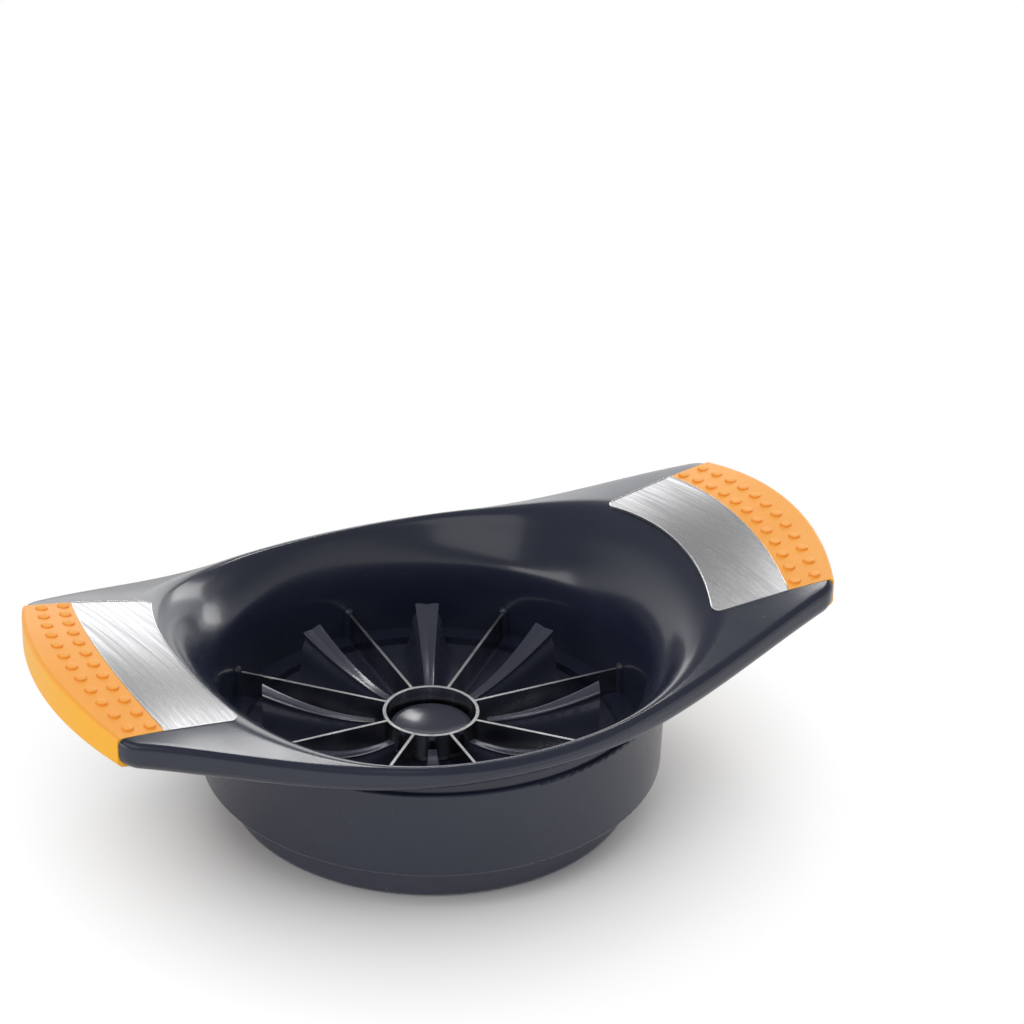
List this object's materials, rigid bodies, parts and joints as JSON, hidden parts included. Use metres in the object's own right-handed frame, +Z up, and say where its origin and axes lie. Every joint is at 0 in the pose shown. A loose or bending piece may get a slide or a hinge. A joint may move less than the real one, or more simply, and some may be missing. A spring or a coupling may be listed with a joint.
{
  "type": "apple slicer and corer",
  "caption": "Two-handled apple slicer: a flared ring with radial blades and a coring tube, resting on a fluted round base that pushes the wedges through.",
  "frame": {"origin": "centre of the base's underside", "axes": "+Z up along the axis of base, ring and coring tube; +X along the line of the two handles; the notch in the base's rim faces -Y"},
  "size_m": [0.2204, 0.1346, 0.0649],
  "materials": {
    "body_plastic": "satin",
    "base_plastic": "satin",
    "polished_steel": "polished",
    "brushed_plate": "brushed",
    "grip_rubber": "soft"
  },
  "bodies": {
    "base": {"base": "base_plastic"},
    "slicer": {"housing": "body_plastic", "collar": "body_plastic", "core_tube": "polished_steel", "plate_right": "brushed_plate", "plate_left": "brushed_plate", "grip_right": "grip_rubber", "grip_left": "grip_rubber", "blade_1": "polished_steel", "blade_2": "polished_steel", "blade_3": "polished_steel", "blade_4": "polished_steel", "blade_5": "polished_steel", "blade_6": "polished_steel", "blade_7": "polished_steel", "blade_8": "polished_steel"}
  },
  "joints": [
    {"name": "lift", "type": "slide", "parent": "base", "child": "slicer", "axis": [0, 0, 1], "range_m": [0, 0.07]}
  ]
}
